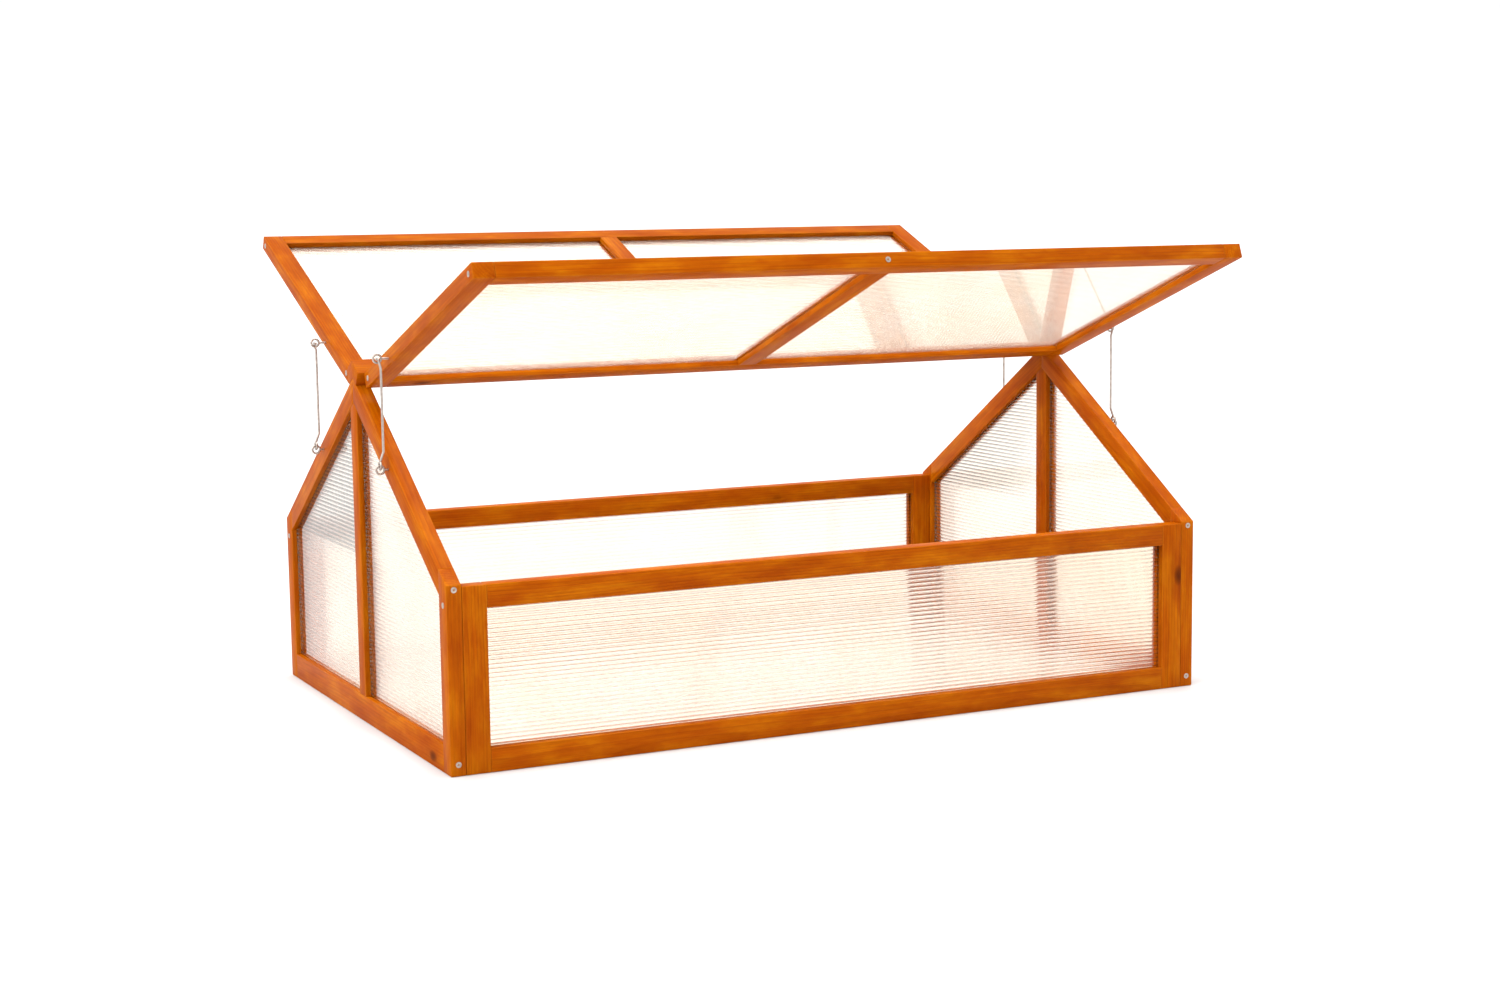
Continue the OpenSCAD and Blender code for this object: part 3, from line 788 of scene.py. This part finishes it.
print("boards in all:", board_count)

# %% [markdown]
# ## Twin-wall sheets
# Twin-wall sheet is two thin skins held apart by webs, so it is mostly hollow, and its flutes are what
# makes everything seen through it break into fine stripes. A striped picture on a flat sheet would not do
# that. Here one flute is a cylinder squared off to the hollow's real section, an Array repeats it at the
# web spacing, and the hollows are joined to the sheet with their faces turned inwards. In the gables the
# ends of the flutes follow the rafter, so the hollows are cut there with a sloping plane and closed again.

# %% Sheets
FLUTE = 5.15 * MM
WEB = 0.4 * MM
SKIN = 0.4 * MM
EDGE = 0.8 * MM
FLUTE_SIDES = 24
SQUARENESS = 0.42
FLUTE_SMOOTH = radians(38)
sheet_faces = 0


def fluted_sheet(node, body, low, high, run_axis, stack_axis, roof_side=0):
    """A hollow sheet between two corners, with flutes along one axis that are stacked along another."""
    global sheet_faces
    thick_axis = 3 - run_axis - stack_axis
    pane = cube("sheet_" + node, low, high)
    if roof_side:
        outer_y = high.y if roof_side > 0 else low.y
        edit(pane)
        pick(pane, "verts", lambda at, n: at.z > high.z - NEAR and abs(at.y - outer_y) < NEAR)
        bpy.ops.transform.translate(value=(0, 0, -ROOF * (high.y - low.y)))
        done()
    count = floor((high[stack_axis] - low[stack_axis] - WEB) / FLUTE)
    spare = (high[stack_axis] - low[stack_axis] - count * FLUTE) / 2
    start = (low + high) / 2
    start[stack_axis] = low[stack_axis] + spare + FLUTE / 2
    spin = [(0, radians(90), 0), (radians(90), 0, 0), (0, 0, 0)][run_axis]
    run = high[run_axis] - low[run_axis] - 2 * EDGE
    bpy.ops.mesh.primitive_cylinder_add(
        vertices=FLUTE_SIDES, radius=1, depth=run, location=start, rotation=spin
    )
    flute = bpy.context.object
    bpy.ops.object.transform_apply(location=True, rotation=True, scale=True)
    wide, deep = (FLUTE - WEB) / 2, (high[thick_axis] - low[thick_axis]) / 2 - SKIN
    for v in flute.data.vertices:
        across, through = v.co[stack_axis] - start[stack_axis], v.co[thick_axis] - start[thick_axis]
        for axis, part, size in ((stack_axis, across, wide), (thick_axis, through, deep)):
            v.co[axis] = start[axis] + size * (1 if part > 0 else -1) * min(abs(part), 1) ** SQUARENESS
    step = [0.0, 0.0, 0.0]
    step[stack_axis] = FLUTE
    modify(
        flute,
        "ARRAY",
        count=count,
        use_relative_offset=False,
        use_constant_offset=True,
        constant_offset_displace=step,
    )
    if roof_side:
        edit(flute)
        bpy.ops.mesh.select_all(action="SELECT")
        outwards = Vector((0, roof_side * sin(slope), cos(slope)))
        on_edge = Vector((0, low.y if roof_side > 0 else high.y, high.z)) - outwards * EDGE
        bpy.ops.mesh.bisect(plane_co=on_edge, plane_no=outwards, use_fill=True, clear_outer=True)
        done()
    edit(flute)
    bpy.ops.mesh.select_all(action="SELECT")
    bpy.ops.mesh.normals_make_consistent(inside=True)
    done()
    bpy.ops.object.select_all(action="DESELECT")
    flute.select_set(True)
    pane.select_set(True)
    bpy.context.view_layer.objects.active = pane
    bpy.ops.object.join()
    pane.matrix_world = PLACE[body]
    bpy.ops.object.transform_apply(location=True, rotation=True, scale=True)
    bpy.ops.object.shade_smooth_by_angle(angle=FLUTE_SMOOTH)
    pane.data.materials.clear()
    pane.data.materials.append(sheet)
    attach(pane, body)
    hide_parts(node)
    sheet_faces += len(pane.data.polygons)
    return count


for side in SIDES:
    for end, y_side in ENDS.items():
        node = f"{side}_pane_{end}"
        flutes = fluted_sheet(node, "base", *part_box(node), 1, 2, roof_side=y_side)
        print(node, "has", flutes, "flutes")
for end in ENDS:
    flutes = fluted_sheet(f"{end}_pane", "base", *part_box(f"{end}_pane"), 0, 2)
    print(end, "pane has", flutes, "flutes")
for lid in LIDS:
    for side in SIDES:
        node = f"{lid}_pane_{side}"
        flutes = fluted_sheet(node, lid, *own_box(node, PLACE[lid]), 0, 1)
        print(node, "has", flutes, "flutes")
print("sheet faces in all:", sheet_faces)

# %% [markdown]
# ## Screws
# The frames are held by countersunk wood screws with a cross recess, whose heads stand a hair proud of the
# stain. One screw is modelled with its head face up: the cylinder is drawn in under the head, extruded
# into a shank and a point, and the recess is cut with a cross of two tapered bars. Every other screw is a
# copy of it, each with its own mesh and its cross turned another way, as a hand-driven screw ends up. The
# hinge leaves have the same screw at about two thirds of the size.

# %% One screw
HEAD_R = 3.4 * MM
HEAD_T = 1.1 * MM
PROUD = 0.5 * MM
UNDER_HEAD = (1.6 * MM, 0.52)
SHANK = (20 * MM, 1.0)
POINT = (4 * MM, 0.08)
HEAD_SIDES = 24
HEAD_EASE = 0.12 * MM
HEAD_SHARP = radians(40)
BAR_LOW = Vector((-1.9, -0.42, -1.1)) * MM
BAR_HIGH = Vector((1.9, 0.42, 1)) * MM
BAR_TAPER = (0.45, 0.6, 1)
bpy.ops.mesh.primitive_cylinder_add(
    vertices=HEAD_SIDES, radius=HEAD_R, depth=HEAD_T, location=(0, 0, PROUD - HEAD_T / 2)
)
screw = bpy.context.object
screw.name = "screw"
bpy.ops.object.transform_apply(location=True, rotation=True, scale=True)
edit(screw)
pick(screw, "faces", lambda at, n: n.z < -FACING)
for length, size in (UNDER_HEAD, SHANK, POINT):
    bpy.ops.mesh.extrude_region_move(TRANSFORM_OT_translate={"value": (0, 0, -length)})
    bpy.ops.transform.resize(value=(size, size, 1))
done()
for quarter in (0, 1):
    bar = cube("bar", BAR_LOW, BAR_HIGH)
    edit(bar)
    pick(bar, "faces", lambda at, n: n.z < -FACING)
    bpy.ops.transform.resize(value=BAR_TAPER)
    done()
    bar.rotation_euler.z = quarter * pi / 2
    bpy.context.view_layer.update()
    modify(screw, "BOOLEAN", object=bar, operation="DIFFERENCE", solver="EXACT")
    bpy.data.objects.remove(bar)
modify(screw, "BEVEL", width=HEAD_EASE, segments=2, limit_method="ANGLE", angle_limit=HEAD_SHARP)
print("one screw:", len(screw.data.polygons), "faces")

# %% [markdown]
# ## Screws in their places
# Each place is a point on a board's face and the direction the head looks in. The faces come from the
# measured boards. How far a screw stands from an edge or above the floor, and where the hinges sit along
# the ridge, are plain distances. The copies for one node are joined, so a lid's screws are one piece that
# rides on the lid.

# %% Screw copies
POST_SCREWS_Z = (13 * MM, 208 * MM)
SIDE_SCREW_IN = 11 * MM
SIDE_SCREW_Z = 190 * MM
RAIL_SCREW_IN = 12.5 * MM
HINGE_X = 340 * MM
LEAF_SCREW_X = 20 * MM
FIXED_LEAF_Y = 9.5 * MM
LID_LEAF_Y = 14 * MM
LEAF_SCALE = 0.65
LEAF_TOP = 0.5 * MM


def drive(node, body, places):
    """Copies the screw to every place (point, outward direction, scale, placing) and joins the copies."""
    copies = []
    for n, (point, outwards, scale, placing) in enumerate(places):
        bpy.ops.object.select_all(action="DESELECT")
        screw.select_set(True)
        bpy.context.view_layer.objects.active = screw
        bpy.ops.object.duplicate(linked=False)
        copy = bpy.context.object
        face = Vector(outwards).to_track_quat("Z", "Y").to_matrix().to_4x4()
        spin = Matrix.Rotation(radians(37 * n + 11), 4, "Z")
        copy.matrix_world = placing @ Matrix.Translation(point) @ face @ spin @ Matrix.Scale(scale, 4)
        copies.append(copy)
    bpy.ops.object.select_all(action="DESELECT")
    for copy in copies:
        copy.select_set(True)
    bpy.context.view_layer.objects.active = copies[0]
    bpy.ops.object.transform_apply(location=True, rotation=True, scale=True)
    bpy.ops.object.join()
    piece = bpy.context.object
    piece.name = piece.data.name = "steel_" + node
    bpy.ops.object.shade_smooth_by_angle(angle=SMOOTH)
    piece.data.materials.clear()
    piece.data.materials.append(steel)
    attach(piece, body)
    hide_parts(node)
    print(node, "has", len(copies), "screws")


FLAT = Matrix.Identity(4)
base_places = []
for side, x_side in SIDES.items():
    for end, y_side in ENDS.items():
        low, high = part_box(f"{side}_post_{end}")
        outer_x = high.x if x_side > 0 else low.x
        outer_y = high.y if y_side > 0 else low.y
        for z in POST_SCREWS_Z:
            base_places.append(((low.x / 2 + high.x / 2, outer_y, z), (0, y_side, 0), 1, FLAT))
        side_point = (outer_x, outer_y - y_side * SIDE_SCREW_IN, SIDE_SCREW_Z)
        base_places.append((side_point, (x_side, 0, 0), 1, FLAT))
for lid, y_side in LIDS.items():
    hinge = Vector(joints[lid + "_hinge"]["pos_m"])
    closed = Matrix.Translation(hinge) @ Matrix.Rotation(-y_side * slope, 4, "X")
    lid_places = []
    for x in (-HINGE_X, 0, HINGE_X):
        for shift in (-LEAF_SCREW_X, LEAF_SCREW_X):
            fixed_point = (x + shift, -y_side * FIXED_LEAF_Y, LEAF_TOP)
            lid_point = (x + shift, y_side * LID_LEAF_Y, LEAF_TOP)
            base_places.append((fixed_point, (0, 0, 1), LEAF_SCALE, closed))
            lid_places.append((lid_point, (0, 0, 1), LEAF_SCALE, PLACE[lid]))
    for side, x_side in SIDES.items():
        low, high = own_box(f"{lid}_rail_{side}", PLACE[lid])
        outer_x = high.x if x_side > 0 else low.x
        for y in (low.y + RAIL_SCREW_IN, high.y - RAIL_SCREW_IN):
            lid_places.append(((outer_x, y, (low.z + high.z) / 2), (x_side, 0, 0), 1, PLACE[lid]))
    low, high = own_box(f"{lid}_free_rail", PLACE[lid])
    outer_y = high.y if y_side > 0 else low.y
    lid_places.append(((0, outer_y, (low.z + high.z) / 2), (0, y_side, 0), 1, PLACE[lid]))
    drive(f"{lid}_screws", lid, lid_places)
drive("frame_screws", "base", base_places)
bpy.data.objects.remove(screw)

# %% [markdown]
# ## Hinges, eyes and stays
# These came from the measured model with their real shapes: rolled knuckles on turned pins, bent wire
# rings and hooked wires. They keep their meshes, and only take the plated steel.

# %% Metal parts kept from the measured model
kept = [n for n in frame["nodes"] if n.startswith("stay_") or n.endswith("_eyes") or "hinge_" in n]
for node in kept:
    part = frame["nodes"][node]
    part.data.materials.clear()
    part.data.materials.append(steel)
print("kept:", sorted(kept))
